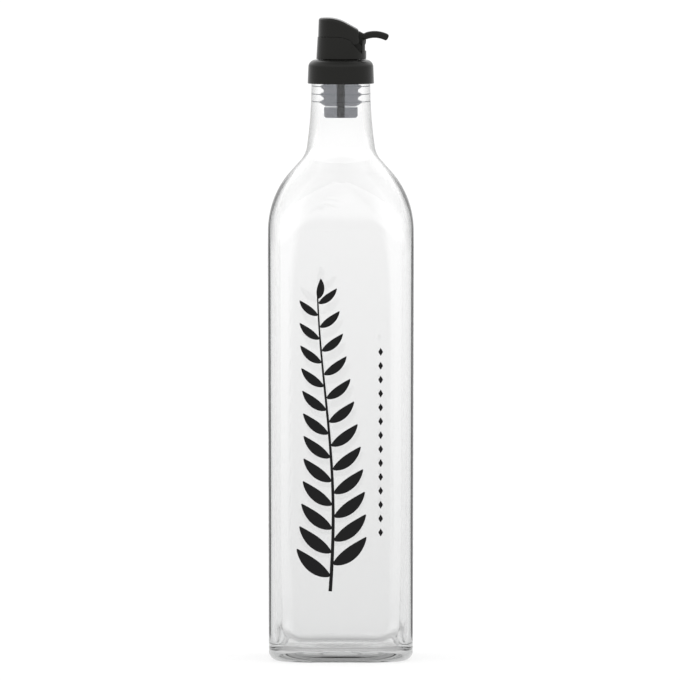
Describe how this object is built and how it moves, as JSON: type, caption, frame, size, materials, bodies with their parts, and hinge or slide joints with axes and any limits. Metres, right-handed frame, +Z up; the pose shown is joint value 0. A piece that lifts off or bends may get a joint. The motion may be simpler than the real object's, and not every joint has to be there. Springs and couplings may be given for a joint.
{
  "type": "oil cruet",
  "caption": "Tall square clear-glass oil cruet, empty, with a black pourer: finned grey stopper, collar, spout housing and a flip hood worked by a curved thumb lever.",
  "frame": {"origin": "on the bottle's upright axis, at the height of its resting ring", "axes": "+Z up along the bottle, flat faces looking along X and Y, thumb lever towards +X, front face towards -Y"},
  "size_m": [0.0768, 0.0768, 0.3384],
  "materials": {
    "clear_glass": "clear polished glass",
    "black_plastic": "satin moulded",
    "grey_stopper": "smoky, soft satin",
    "dark_tube": "satin"
  },
  "bodies": {
    "bottle": {"bottle_glass": "clear_glass", "pour_collar": "black_plastic", "spout_housing": "black_plastic", "stopper": "grey_stopper", "air_tube": "dark_tube"},
    "hood": {"flip_hood": "black_plastic"}
  },
  "joints": [
    {"name": "hood_hinge", "type": "hinge", "parent": "bottle", "child": "hood", "pos_m": [0.0076, 0, 0.3264], "axis": [0, 1, 0], "range_deg": [0, 45]}
  ]
}
